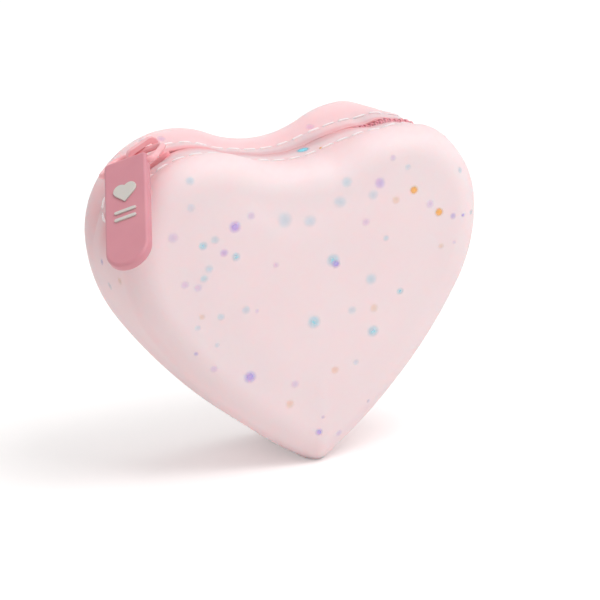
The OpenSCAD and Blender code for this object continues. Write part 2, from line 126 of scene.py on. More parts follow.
# Pairs of (length along the zip from the middle of the cleft, value), from the slit's left end to its right:
# how far each lip stands from the middle, how far the shell itself is cut back, how far the valley sinks
# beside the lips, and how far the zip stands above its CAD line.
LIPS = [
    (-SLIT_END, 0), (-43.9, 1.6), (-42.6, 2.9), (-40.4, 3.5), (-29.4, 3.5), (-27.8, 2.4), (-26.3, 1.1),
    (-24, 0.7), (-21, 0.4), (0, 0.3), (17, 0.35), (23, 1.3), (27, 2.3), (34, 2.6), (39.5, 2.4), (42.3, 2.05),
    (43.7, 1.2), (SLIT_END, 0)]
CUT = LIPS[:5] + [(-24, 3.5), (-17.2, 2.9), (-14.5, 0.35)] + LIPS[9:]
LIP_SINK = [(16, 0), (26, 1.3), (40, 1.3), (SLIT_END, 0)]
SINK_REACH = 12
ZIP_LIFT = [(-15, 0), (-6, 0.9), (8, 0.9), (19, -0.6), (23, -0.6), (29, 1.0), (34, 2.0), (36.5, 1.8), (41, 0)]
# How far the soft rims hang below the outline, by the ray's angle in degrees.
FRONT_SLUMP = [(20, 0), (36, 0.2), (60, 2.8), (72, 2.8), (84, 1.7), (115, 1.7), (150, 1.2), (185, 0)]
BACK_SLUMP = [(20, 0), (45, 1.6), (59, 0)]
LIP_ROUND = 0.3
LIP_BEND = 0.3
LIP_MATCH = 20
LIP_T = 0.7
LIP_FADE = 1
CHANNEL_HALF = 3.4
CHANNEL_STEP = 0.45
CHANNEL_GAP = 0.05
LINING_HALF = 6
LINING_TURNS = (20, 40, 60, 75, 90)
SEAM_Y = 6.65
SEAM_SINK = 0.16
SEAM_WIDTH = 0.7
FACE_CROWN = 0.7
CROWN_RISE = 2.2
WAVE = 0.22
WAVE_RISE = 3
WAVE_LENGTH = 22
# How much painted shade, a deeper pink, falls at the lips, over the valley and over the band.
LIP_SHADE = 0.7
LIP_SHADE_REACH = 4.5
VALLEY_SHADE = 0.2
BAND_SHADE = 0.25

STATIONS = 320
FINE_STEPS = 4000
BAND_STEPS = 24
EDGE_STEPS = 12
FACE_STEPS = 16
LINING_STEPS = 5
TINY = 0.0001


def around(a, ra, b, rb, r):
    """Centre of the circle of radius r that both given circles touch from inside, on the left."""
    da = r - ra
    db = r - rb
    apart = (b - a).length
    forward = (da * da - db * db + apart * apart) / (2 * apart)
    unit = (b - a) / apart
    return a + unit * forward + Vector((unit.y, -unit.x)) * math.sqrt(da * da - forward * forward)


def ray_angle(p):
    return math.atan2(p.y - CORE_Z, p.x)


def on_circle(centre, radius, turn):
    return centre + radius * Vector((math.cos(turn), math.sin(turn)))


def reach(phi, centre, radius, far):
    """Distance from the core to a circle's far side (far = 1) or near side (far = -1)."""
    offset = CORE - centre
    b = offset.dot(Vector((math.cos(phi), math.sin(phi))))
    return -b + far * math.sqrt(max(b * b - offset.dot(offset) + radius * radius, 0))


FLANK = around(SIDE, SIDE_R, TIP, TIP_R, FLANK_R)
ARCS = [
    (ray_angle(TIP + TIP_R * (TIP - FLANK).normalized()), TIP, TIP_R, 1),
    (ray_angle(SIDE + SIDE_R * (SIDE - FLANK).normalized()), FLANK, FLANK_R, 1),
    (ray_angle(Vector((HALF_W, LOBE.y))), SIDE, SIDE_R, 1),
    (ray_angle(LOBE + LOBE_R * (CLEFT - LOBE).normalized()), LOBE, LOBE_R, 1),
    (math.pi, CLEFT, CLEFT_R, -1)]
PHI_LOBE = ARCS[2][0]
PHI_JOIN = ray_angle(on_circle(ZIP_LOBE, ZIP_R, JOIN_TURN))
PHI_SLIT = ray_angle(on_circle(ZIP_LOBE, ZIP_R, SLIT_TURN))
PHI_WHOLE = ray_angle(on_circle(ZIP_LOBE, ZIP_R, WHOLE_TURN))


def smooth(t):
    t = min(max(t, 0), 1)
    return t * t * (3 - 2 * t)


def curve(pairs, x):
    """The value at x of a smooth curve through pairs, level at each and level past both ends."""
    if x <= pairs[0][0]:
        return pairs[0][1]
    for (x0, v0), (x1, v1) in zip(pairs, pairs[1:]):
        if x <= x1:
            return v0 + (v1 - v0) * smooth((x - x0) / (x1 - x0))
    return pairs[-1][1]


def outline(phi):
    """Distance from the core to the outline, and the cosine between the ray and the outline's normal."""
    centre, radius, far = next(arc[1:] for arc in ARCS if phi < arc[0])
    rho = reach(phi, centre, radius, far)
    return rho, far * (on_circle(CORE, rho, phi) - centre).dot(on_circle(Vector((0, 0)), 1, phi)) / radius


def zip_line(phi, deep):
    """Distance from the core to the valley's floor, or to its copy that far below."""
    if phi < ray_angle(on_circle(ZIP_LOBE, ZIP_R - deep, JOIN_TURN)):
        return reach(phi, ZIP_LOBE, ZIP_R - deep, 1)
    return reach(phi, ZIP_CLEFT, ZIP_CLEFT_R + deep, -1)


def lobe_line(phi, inset):
    """Distance from the core to a copy of the lobe and the cleft, that far inside the outline."""
    if phi < ray_angle(LOBE + (LOBE_R - inset) * (CLEFT - LOBE).normalized()):
        return reach(phi, LOBE, LOBE_R - inset, 1)
    return reach(phi, CLEFT, CLEFT_R + inset, -1)


def zip_run(phi):
    """Length along the zip, from the middle of the cleft to the ray at phi on the right half."""
    if phi < PHI_SLIT:
        return SLIT_END + LIP_FADE
    p = on_circle(CORE, zip_line(phi, 0), phi)
    if phi >= PHI_JOIN:
        return math.atan2(p.x, ZIP_CLEFT.y - p.y) * ZIP_CLEFT_R
    return CLEFT_RUN + (JOIN_TURN - math.atan2(p.y - ZIP_LOBE.y, p.x - ZIP_LOBE.x)) * ZIP_R


def dished(y, start, end):
    """1 up to start, from where it falls smoothly to 0 at end."""
    return math.cos(UP * min(max((y - start) / (end - start), 0), 1)) ** 2


def edge_inset(y, start, radius):
    """How far a rounded edge that begins at start has turned inward at y."""
    return radius - math.sqrt(max(radius * radius - max(y - start, 0) ** 2, 0))


def wave(p):
    """How far the soft skin swells or sinks at a point."""
    return WAVE * noise.noise(p / WAVE_LENGTH)


class Ray:
    """What the sections need at one angle round the core: the outline, the zip and the lips there."""

    def __init__(self, phi):
        self.phi = phi
        left = phi > UP
        self.folded = math.pi - phi if left else phi
        self.rim, self.facing = outline(self.folded)
        self.deep = smooth((self.folded - PHI_WHOLE + FADE_TURN) / FADE_TURN)
        self.run = zip_run(self.folded) * (-1 if left else 1)
        self.lip = curve(LIPS, self.run)
        self.cut = curve(CUT, self.run)
        self.sink = curve(LIP_SINK, self.run) if self.cut else 0
        self.thin = smooth((SLIT_END + LIP_FADE - abs(self.run)) / (2 * LIP_FADE))
        self.floor = zip_line(self.folded, -curve(ZIP_LIFT, self.run))
        self.seat = zip_line(self.folded, WALL - curve(ZIP_LIFT, self.run))
        self.slump = [curve(table, math.degrees(phi)) for table in (FRONT_SLUMP, BACK_SLUMP)]

    def at(self, rho, y, ground):
        """A point on this ray, y from the middle plane, no lower than ground."""
        if self.folded < 0:
            rho = min(rho, (CORE_Z - ground) / -math.sin(self.folded))
        return Vector((rho * math.cos(self.phi), y, CORE_Z + rho * math.sin(self.phi)))

    def rim_in(self, inset, y):
        """Distance from the core to the rim, that far in from the outline and from its slump."""
        inset += self.slump[y > 0] * smooth(abs(y) / BAND_HALF)
        lobes = lobe_line(self.folded, inset)
        plain = self.rim - inset / self.facing
        return plain + (lobes - plain) * smooth((self.folded - PHI_LOBE) / FADE_TURN)

    def outside(self, y, drop=0):
        """A point of the outside of the band. drop takes it that far in."""
        far = abs(y)
        rho = self.rim_in(edge_inset(far, BAND_HALF, EDGE_R), y)
        rho -= (self.rim_in(0, y) - self.floor) * self.deep * dished(far, FLOOR_HALF, RIM_HALF)
        drop += self.sink * dished(far, self.cut, SINK_REACH)
        drop += SEAM_SINK * self.deep * math.exp(-((far - SEAM_Y) / SEAM_WIDTH) ** 2)
        drop -= wave(self.at(rho, y, 0)) * smooth((far - SEAM_Y) / EDGE_R)
        return self.at(rho - drop / self.facing, y, 0)

    def lining(self, y, lip):
        """A point of the inside. lip is 1 where the wall thins to a lip over the coil."""
        far = abs(y)
        rho = self.rim_in(WALL + edge_inset(far, BAND_HALF, EDGE_R - WALL), y)
        rho -= (self.rim_in(WALL, y) - self.seat) * self.deep * dished(far, SEAT_HALF, RIM_HALF)
        rho += lip * self.thin * (WALL - LIP_T - self.sink) / self.facing
        return self.at(rho, y, WALL)

    def painted_shade(self, y):
        """Painted shade, a deeper pink: most at the lips, less over the valley and the band, none on the
        faces.
        """
        far = abs(y)
        lips = LIP_SHADE * dished(far, self.lip, LIP_SHADE_REACH)
        valley = VALLEY_SHADE * dished(far, FLOOR_HALF, RIM_HALF)
        return self.deep * (lips + valley) + BAND_SHADE * dished(far, BAND_HALF, HALF_D)


def ray_under(p):
    """The ray that a point of the purse lies on."""
    phi = math.atan2(p.z - CORE_Z, p.x)
    return Ray(phi if phi > -UP else phi + 2 * math.pi)


def face_point(edge, share, crown):
    """A point of a face, share of the way from its edge to the core line, crowned outward in the middle."""
    p = edge.lerp(Vector((0, edge.y, CORE_Z)), share)
    bulge = crown * smooth(share * CROWN_RISE) + wave(p) * smooth(share * WAVE_RISE)
    return p + Vector((0, math.copysign(bulge, edge.y), 0))


def section(ray, side):
    """Points from the middle of a face's outside, over the band to the lip, and back along the lining."""
    first = ray.cut + LIP_ROUND
    flat = [first + (BAND_HALF - first) * k / BAND_STEPS for k in range(BAND_STEPS + 1)]
    edge = [BAND_HALF + EDGE_R * math.sin(UP * k / EDGE_STEPS) for k in range(1, EDGE_STEPS + 1)]
    band = [ray.outside(side * y) for y in (flat + edge)[::-1]]
    soft = LIP_ROUND * smooth(ray.cut) * smooth(1 - (ray.cut - ray.lip) * LIP_MATCH)
    band.append(ray.outside(side * (ray.cut + LIP_ROUND * LIP_BEND), soft * LIP_BEND))
    band.append(ray.outside(side * ray.cut, soft))
    face = [face_point(band[0], k / FACE_STEPS, FACE_CROWN) for k in range(FACE_STEPS, 0, -1)]
    channel = max(ray.cut + CHANNEL_GAP, CHANNEL_HALF)
    levels = [(ray.cut, 1), (channel, 1), (channel + CHANNEL_STEP, 0), (LINING_HALF, 0), (SEAT_HALF, 0)]
    levels += [(BAND_HALF + (EDGE_R - WALL) * math.sin(math.radians(turn)), 0) for turn in LINING_TURNS]
    lining = [ray.lining(side * y, lip) for y, lip in levels]
    back = [face_point(lining[-1], k / LINING_STEPS, 0) for k in range(1, LINING_STEPS + 1)]
    return face + band + lining + back


def even_rays():
    """Angles round the core, evenly spaced along the outline, with one at each end of the slit."""
    fine = [2 * math.pi * k / FINE_STEPS - UP for k in range(FINE_STEPS + 1)]
    points = [on_circle(CORE, outline(math.pi - a if a > UP else a)[0], a) for a in fine]
    run = [0]
    for p, q in zip(points, points[1:]):
        run.append(run[-1] + (q - p).length)
    rays = [next(a for a, r in zip(fine, run) if r >= run[-1] * n / STATIONS) for n in range(STATIONS)]
    for end in (PHI_SLIT, math.pi - PHI_SLIT):
        nearest = min(range(STATIONS), key=lambda n: abs(rays[n] - end))
        rays[nearest] = end
    return rays


def wrap(bm, rows, size=None):
    """A sheet of quads through rows of points, shaped from a grid. With a size, its UV runs over that."""
    across = len(rows[0]) - 1
    along = len(rows) - 1
    uv = bm.loops.layers.uv.verify() if size else None
    grid = bmesh.ops.create_grid(bm, x_segments=across, y_segments=along, size=0.5, calc_uvs=bool(size))
    for vert in grid["verts"]:
        vert.co = rows[round((vert.co.y + 0.5) * along)][round((vert.co.x + 0.5) * across)]
        for loop in vert.link_loops if size else ():
            loop[uv].uv = (loop[uv].uv.y * size[0], loop[uv].uv.x * size[1])
    return grid["verts"]


def paint_shade(bm):
    """Gives each vertex how much painted shade, a deeper pink, lies there."""
    painted_shade = bm.verts.layers.float.new("painted_shade")
    for vert in bm.verts:
        if abs(vert.co.y) < HALF_D:
            vert[painted_shade] = ray_under(vert.co).painted_shade(vert.co.y)


def finish_piece(name, bm, material, body, replaced=()):
    """Closes a bmesh drawn in millimetres, makes it a smooth object, and hangs it on its body."""
    bmesh.ops.remove_doubles(bm, verts=bm.verts, dist=TINY)
    bmesh.ops.recalc_face_normals(bm, faces=bm.faces)
    bmesh.ops.scale(bm, vec=(MM, MM, MM), verts=bm.verts)
    mesh = bpy.data.meshes.new(name)
    bm.to_mesh(mesh)
    bm.free()
    mesh.shade_smooth()
    mesh.materials.append(material)
    piece = bpy.data.objects.new(name, mesh)
    bpy.context.collection.objects.link(piece)
    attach(piece, body)
    if replaced:
        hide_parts(*replaced)
    return piece


class Field:
    """One value or colour of a node tree. Arithmetic on it makes Math nodes, and node() makes any other."""

    def __init__(self, tree, socket=None):
        self.tree = tree
        self.socket = socket

    def node(self, kind, settings, inputs, output=0):
        made = self.tree.nodes.new(kind)
        for name, value in settings.items():
            setattr(made, name, value)
        for name, value in inputs.items():
            self.feed(made.inputs[name], value)
        return Field(self.tree, made.outputs[output])

    def feed(self, socket, value):
        if isinstance(value, Field):
            self.tree.links.new(value.socket, socket)
        else:
            socket.default_value = value

    def math(self, operation, first, second):
        return self.node("ShaderNodeMath", {"operation": operation}, {0: first, 1: second})

    def __add__(self, other):
        return self.math("ADD", self, other)

    def __radd__(self, other):
        return self.math("ADD", other, self)

    def __sub__(self, other):
        return self.math("SUBTRACT", self, other)

    def __rsub__(self, other):
        return self.math("SUBTRACT", other, self)

    def __mul__(self, other):
        return self.math("MULTIPLY", self, other)

    def __rmul__(self, other):
        return self.math("MULTIPLY", other, self)

    def spots(self, waves, detail=2.0):
        """Noise over the piece from 0 to 1, at that many waves a millimetre."""
        place = self.node("ShaderNodeTexCoord", {}, {}, "Object")
        return self.node("ShaderNodeTexNoise", {}, {"Vector": place, "Scale": waves / MM, "Detail": detail})

    def bands(self, direction, period):
        """Waves over the UV map from 0 to 1, that many millimetres apart."""
        scale = 2 * math.pi / (period * (10 if direction == "DIAGONAL" else 20))
        place = self.node("ShaderNodeTexCoord", {}, {}, "UV")
        inputs = {"Vector": place, "Scale": scale}
        return self.node("ShaderNodeTexWave", {"bands_direction": direction}, inputs, "Fac")

    def attribute(self, name, output="Fac"):
        return self.node("ShaderNodeAttribute", {"attribute_name": name}, {}, output)

    def blend(self, share, first, second):
        """A colour that goes from first to second as share goes from 0 to 1."""
        return self.node("ShaderNodeMix", {"data_type": "RGBA"}, {0: share, 6: first, 7: second}, 2)

    def bump(self, height, distance):
        """A normal for a height from 0 to 1 that stands for that many millimetres."""
        return self.node("ShaderNodeBump", {}, {"Height": height, "Distance": distance * MM}, "Normal")


def srgb(red, green, blue):
    """The linear colour of a colour that is written from 0 to 255."""
    return (*(((c / 255 + 0.055) / 1.055) ** 2.4 for c in (red, green, blue)), 1)


def new_material(name, constants, varying):
    """A Principled material: constants on its own sockets, and varying(field), which gives what is linked."""
    material = bpy.data.materials.new(name)
    material.use_nodes = True
    shader = material.node_tree.nodes["Principled BSDF"]
    for socket, value in constants.items():
        shader.inputs[socket].default_value = value
    field = Field(material.node_tree)
    for socket, value in varying(field).items():
        field.feed(shader.inputs[socket], value)
    return material


def silicone_finish(field):
    """Milky pink, painted shade in deeper pink on the folds and band, faint clouds, satin skin with fine
    grain.
    """
    # The painted shade attribute blends in a deeper pink that stands for shade in the folds and on the band.
    colour = field.blend(field.attribute("painted_shade"), srgb(249, 227, 229), srgb(240, 165, 170))
    return {
        "Base Color": field.blend(field.spots(0.05) * 0.25, colour, srgb(245, 209, 211)),
        "Roughness": field.spots(0.15) * 0.12 + 0.42,
        "Normal": field.bump(field.spots(3.0), 0.012)}


SILICONE = new_material("silicone", {
    "Subsurface Weight": 1.0, "Subsurface Radius": (1.0, 0.5, 0.45), "Subsurface Scale": 2.4 * MM,
    "IOR": 1.41}, silicone_finish)


def build_skin():
    bm = bmesh.new()
    rays = [Ray(phi) for phi in even_rays()]
    for side in (-1, 1):
        rows = [section(ray, side) for ray in rays]
        wrap(bm, rows + rows[:1])
    middle = [face for face in bm.faces if all(abs(vert.co.y) < TINY for vert in face.verts)]
    bmesh.ops.delete(bm, geom=middle, context="FACES_ONLY")
    paint_shade(bm)
    return finish_piece("shell_skin", bm, SILICONE, "purse", ["shell"])


skin = build_skin()

# Lip flaps
# The soft lips right of the slider, which close over the coil. On the purse the slider pushes them aside as
# it travels there; here they keep one shape. Each laps a little over the skin with a feathered edge, so
# that the two read as one.
FLAP_START = -29.4
FLAP_END = -14.5
FLAP_STEP = 0.3
FLAP_HIGH = 0.02
FLAP_LAP = 0.9
FLAP_LEAST = 0.02
FLAP_UNDER = 0.1


def zip_point(run, y, z):
    """A point at that length along the zip, y from the middle plane, z above the valley's floor."""
    z += curve(ZIP_LIFT, run)
    far = abs(run)
    if far < CLEFT_RUN:
        p = on_circle(ZIP_CLEFT, ZIP_CLEFT_R - z, far / ZIP_CLEFT_R - UP)
    else:
        p = on_circle(ZIP_LOBE, ZIP_R + z, JOIN_TURN - (far - CLEFT_RUN) / ZIP_R)
    return Vector((math.copysign(p.x, run), y, p.y))


def spaced(start, end, step):
    """Lengths from start to end, no more than a step apart."""
    count = math.ceil((end - start) / step)
    return [start + (end - start) * k / count for k in range(count + 1)]


def sweep(bm, rings, size=None):
    """A closed body through rings of points, with both ends filled."""
    verts = wrap(bm, [ring + ring[:1] for ring in rings], size)
    bmesh.ops.remove_doubles(bm, verts=verts, dist=TINY)
    bmesh.ops.holes_fill(bm, edges=[edge for edge in bm.edges if edge.is_boundary], sides=0)


THIN_SILICONE = new_material("thin_silicone", {
    "Subsurface Weight": 0.35, "Subsurface Radius": (1.0, 0.5, 0.45), "Subsurface Scale": 0.8 * MM,
    "IOR": 1.41}, silicone_finish)


def build_flap(name, side):
    bm = bmesh.new()
    rings = []
    for run in spaced(FLAP_START, FLAP_END, FLAP_STEP):
        lip = curve(LIPS, run)
        outer = max(curve(CUT, run), lip + FLAP_LEAST)
        soft = min(LIP_ROUND, outer - lip)
        top = [(outer + FLAP_LAP, -FLAP_HIGH), (outer + FLAP_LAP / 2, FLAP_HIGH / 2), (outer, FLAP_HIGH)]
        top += [(lip + soft, FLAP_HIGH), (lip + soft * LIP_BEND, -soft * LIP_BEND), (lip, -soft)]
        under = [(lip, FLAP_HIGH - LIP_T), (outer, FLAP_HIGH - LIP_T), (outer, -FLAP_UNDER)]
        rings.append([zip_point(run, side * y, z) for y, z in top + under])
    sweep(bm, rings)
    paint_shade(bm)
    flap = finish_piece(name, bm, THIN_SILICONE, "purse")
    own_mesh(flap)


build_flap("lip_flap_front", -1)
build_flap("lip_flap_back", 1)

# Zip tapes
# Two woven polyester tapes sewn under the lips. The edge that carries the coil is beaded and a bit thicker.
TAPE_IN = 0.9
TAPE_OUT = 9
TAPE_T = 0.5
TAPE_STEP = 0.8
TAPE_BEVEL = 0.2
TAPE_ROUND = 0.12
TAPE_HEM = 0.08
BEAD_W = 2.2
BEAD_H = 0.1
TAPE_TOP = -2.3
TAPE_TURN = math.radians(21)
TAPE_END = CLEFT_RUN + (JOIN_TURN - TAPE_TURN) * ZIP_R


def tape_finish(field):
    weave = field.bands("X", 0.5) * field.bands("Y", 0.62)
    return {
        "Base Color": field.blend(weave, srgb(230, 124, 140), srgb(248, 164, 176)),
        "Roughness": field.spots(0.5) * 0.2 + 0.65,
        "Normal": field.bump(weave, 0.08)}


TAPE = new_material("tape_weave", {"Sheen Weight": 0.25}, tape_finish)


def build_tape(name, side):
    bm = bmesh.new()
    top = [
        (TAPE_OUT, -TAPE_HEM), (TAPE_OUT - TAPE_BEVEL, 0), (TAPE_IN + BEAD_W, 0), (TAPE_IN + TAPE_BEVEL, 0),
        (TAPE_IN, -TAPE_ROUND)]
    under = [
        (TAPE_IN, TAPE_ROUND - TAPE_T), (TAPE_IN + TAPE_BEVEL, -TAPE_T), (TAPE_IN + BEAD_W, BEAD_H - TAPE_T),
        (TAPE_OUT - TAPE_BEVEL, BEAD_H - TAPE_T), (TAPE_OUT, BEAD_H + TAPE_HEM - TAPE_T)]
    runs = spaced(-TAPE_END, TAPE_END, TAPE_STEP)
    rings = [[zip_point(run, side * y, TAPE_TOP + z) for y, z in top + under] for run in runs]
    sweep(bm, rings, (2 * TAPE_END, 2 * (TAPE_OUT - TAPE_IN + TAPE_T)))
    finish_piece(name + "_weave", bm, TAPE, "purse", [name])


build_tape("tape_front", -1)
build_tape("tape_back", 1)

# Coil
# Two nylon filaments, each wound in flattened turns along its tape. The turns' heads lock past the middle.
LEFT_TURN = math.radians(40)
RIGHT_TURN = math.radians(38.5)
WEDGE_TURN = math.radians(65)
COIL_LEFT = -(CLEFT_RUN + (JOIN_TURN - LEFT_TURN) * ZIP_R)
COIL_RIGHT = CLEFT_RUN + (JOIN_TURN - RIGHT_TURN) * ZIP_R
SLIDER_RUN = -(CLEFT_RUN + (JOIN_TURN - WEDGE_TURN) * ZIP_R)
COIL_PITCH = 1.25
TURN_Y = 0.65
TURN_Z = -1.58
TURN_HALF_W = 0.75
TURN_HALF_H = 0.5
TURN_STEPS = 12
TURN_SQUARENESS = 0.7
FILAMENT_R = 0.19
FILAMENT_SIDES = 5
ROWS_MEET = 1
ROWS_FREE = -2.2
ROW_SPREAD = 1


def coil_finish(field):
    shade = field.spots(0.6)
    return {
        "Base Color": field.blend(shade, srgb(243, 148, 162), srgb(254, 188, 197)),
        "Roughness": shade * 0.2 + 0.3,
        "Normal": field.bump(field.spots(4), 0.01)}


NYLON = new_material("nylon", {
    "IOR": 1.5, "Subsurface Weight": 0.15, "Subsurface Scale": 0.4 * MM}, coil_finish)


def row_spread(run):
    """How far the slider's wedge has parted a row from the middle."""
    return ROW_SPREAD * min(max((ROWS_MEET - run + SLIDER_RUN) / (ROWS_MEET - ROWS_FREE), 0), 1)


def ring_round(centre, tangent, side, width, height, count):
    """Points of an ellipse across a tangent, width along side and height across it."""
    tangent = tangent.normalized()
    u = (side - side.dot(tangent) * tangent).normalized()
    v = tangent.cross(u)
    turns = [2 * math.pi * k / count for k in range(count)]
    return [centre + width * math.cos(t) * u + height * math.sin(t) * v for t in turns]


def squared(x):
    """A sine or cosine pushed outward, which turns a circle into a rounded square."""
    return math.copysign(abs(x) ** TURN_SQUARENESS, x)


def build_coil(name, side, first):
    bm = bmesh.new()
    turns = int((COIL_RIGHT - COIL_LEFT - first) / COIL_PITCH)
    centres = []
    for n in range(turns * TURN_STEPS + 1):
        run = COIL_LEFT + first + COIL_PITCH * n / TURN_STEPS
        t = 2 * math.pi * n / TURN_STEPS
        y = TURN_Y + row_spread(run) + TURN_HALF_W * squared(math.cos(t))
        centres.append(zip_point(run, side * y, TURN_Z + TURN_HALF_H * squared(math.sin(t))))
    ahead = centres[1:] + [2 * centres[-1] - centres[-2]]
    behind = [2 * centres[0] - centres[1]] + centres[:-1]
    lengthwise = Vector((1, 0, 0))
    sweep(bm, [
        ring_round(centre, q - p, lengthwise, FILAMENT_R, FILAMENT_R, FILAMENT_SIDES)
        for centre, p, q in zip(centres, behind, ahead)])
    finish_piece(name + "_filament", bm, NYLON, "purse", [name])


build_coil("coil_front", -1, COIL_PITCH / 2)
build_coil("coil_back", 1, COIL_PITCH)

# Filler cords
# A soft twisted yarn runs inside each row of turns, and the stitches of the tape hold both down.
YARN_R = 0.27
YARN_SIDES = 10
YARN_STEP = 0.6


def yarn_finish(field):
    twist = field.bands("DIAGONAL", 0.7)
    return {
        "Base Color": field.blend(twist, srgb(222, 150, 160), srgb(242, 190, 196)),
        "Roughness": twist * 0.15 + 0.7,
        "Normal": field.bump(twist, 0.05)}


YARN = new_material("yarn", {"Sheen Weight": 0.3}, yarn_finish)


def build_cord(name, side):
    bm = bmesh.new()
    turns = [2 * math.pi * k / YARN_SIDES for k in range(YARN_SIDES)]
    rings = []
    for run in spaced(COIL_LEFT, COIL_RIGHT, YARN_STEP):
        y = TURN_Y + row_spread(run)
        rings.append([
            zip_point(run, side * (y + YARN_R * math.cos(t)), TURN_Z + YARN_R * math.sin(t)) for t in turns])
    sweep(bm, rings, (COIL_RIGHT - COIL_LEFT, 2 * math.pi * YARN_R))
    finish_piece(name + "_yarn", bm, YARN, "purse", [name])


build_cord("cord_front", -1)
build_cord("cord_back", 1)

# Stops
# Small moulded nylon blocks at both ends of the coil. They keep their CAD solids, with softened edges.
WELD_GAP = 0.002
SHARP_ANGLE = 35
BEVEL_SEGMENTS = 3
STOP_EDGE = 0.1


def dress(name, material, edge):
    """Gives a CAD solid its material, and rounds its edges without changing its mesh."""
    node = frame["nodes"][name]
    weld = node.modifiers.new("Weld", "WELD")
    weld.merge_threshold = WELD_GAP * MM
    bevel = node.modifiers.new("Bevel", "BEVEL")
    bevel.width = edge * MM
    bevel.segments = BEVEL_SEGMENTS
    bevel.limit_method = "ANGLE"
    bevel.angle_limit = math.radians(SHARP_ANGLE)
    node.data.materials.clear()
    node.data.materials.append(material)


for stop in ("top_stop_front", "top_stop_back", "bottom_stop"):
    dress(stop, NYLON, STOP_EDGE)

# Stitches
# One seam of long lock stitches in pale thread goes along both sides of the zip and round both its ends.
STITCH = 3.2
STITCH_GAP = 0.85
STITCH_LEAN = 0.12
STITCH_SHIFT = 0.12
STITCH_SHORT = 0.93
STITCH_LONG = 1.05
STITCH_FLAT = 0.6
STITCH_DIVE = 1.2
STITCH_TAPER = 0.35
THREAD_W = 0.36
THREAD_H = 0.24
THREAD_SIDES = 8
STITCH_STEPS = 6
SEAM_INSET = 3.2
SEAM_END = SLIT_END - SEAM_INSET


def thread_finish(field):
    twist = field.bands("DIAGONAL", 0.55)
    return {
        "Base Color": field.blend(twist, srgb(255, 232, 234), srgb(255, 250, 250)),
        "Roughness": twist * 0.1 + 0.55,
        "Normal": field.bump(twist, 0.05)}


THREAD = new_material("thread", {"Sheen Weight": 0.2}, thread_finish)


def seam_place(length):
    """(length along the zip, y) at that length round the seam, from the middle of its front row."""
    straight = 2 * SEAM_END
    turn = math.pi * SEAM_Y
    length = (length + SEAM_END) % (2 * straight + 2 * turn)
    if length < straight:
        return length - SEAM_END, -SEAM_Y
    if length < straight + turn:
        a = (length - straight) / SEAM_Y - UP
        return SEAM_END + SEAM_Y * math.cos(a), SEAM_Y * math.sin(a)
    if length < 2 * straight + turn:
        return SEAM_END - (length - straight - turn), SEAM_Y
    a = (length - 2 * straight - turn) / SEAM_Y + UP
    return -SEAM_END + SEAM_Y * math.cos(a), SEAM_Y * math.sin(a)


def build_stitch(bm, start, length, lean):
    """One stitch: a flattened thread that rises out of its needle hole and dips into the next."""
    middles = []
    for k in range(STITCH_STEPS + 1):
        t = k / STITCH_STEPS
        run, y = seam_place(start + length * t)
        floor = zip_point(run, 0, 0)
        up = zip_point(run, 0, 1) - floor
        end = (max(abs(2 * t - 1) - STITCH_FLAT, 0) / (1 - STITCH_FLAT)) ** 2
        middle = ray_under(floor).outside(y + lean * (t - 0.5)) + up * THREAD_H * (0.5 - STITCH_DIVE * end)
        middles.append((middle, up, 1 - STITCH_TAPER * end))
    rings = []
    for k, (middle, up, full) in enumerate(middles):
        tangent = middles[min(k + 1, STITCH_STEPS)][0] - middles[max(k - 1, 0)][0]
        rings.append(ring_round(
            middle, tangent, up.cross(tangent), full * THREAD_W, full * THREAD_H, THREAD_SIDES))
    sweep(bm, rings, (length, 2 * math.pi * THREAD_W))


def build_stitches():
    bm = bmesh.new()
    random.seed(4)
    total = 4 * SEAM_END + 2 * math.pi * SEAM_Y
    count = round(total / (STITCH + STITCH_GAP))
    for n in range(count):
        start = total * n / count + random.uniform(-STITCH_SHIFT, STITCH_SHIFT)
        length = STITCH * random.uniform(STITCH_SHORT, STITCH_LONG)
        build_stitch(bm, start, length, random.uniform(-STITCH_LEAN, STITCH_LEAN))
    finish_piece("stitches", bm, THREAD, "purse")


build_stitches()

# Flecks
# Confetti discs cast in the silicone, seen through its surface with soft edges, most of them deep and pale.
# Those that the photograph shows are placed by its pixels as (x, y, radius), under a colour and how strongly
# it covers. The rest of the skin gets a like scatter.
PIXELS = 600
FOCAL = LENS / SENSOR * PIXELS
CENTRE_X = PIXELS / 2 - SHIFT[0] * PIXELS
CENTRE_Y = PIXELS / 2 + SHIFT[1] * PIXELS
FLECK_FADE = 1.4
FLECK_SCALE = FLECK_FADE * CAMERA_DISTANCE / FOCAL
FLECK_LIFT = 0.03
FLECK_RIM = 0.008
FLECK_ROOT = -0.05
FLECK_SIDES = 12
FLECK_RINGS = 6
FLECK_OVAL = 0.85
FLECK_HEM = 0.1
STRAY_FLECKS = 150
STRAY_RADII = (0.5, 1.4)
STRAY_COVERS = [0.2, 0.3, 0.5]
FACING_AWAY = 0.05
ZIP_FREE_Y = SEAM_Y + 1
ZIP_FREE_Z = 60

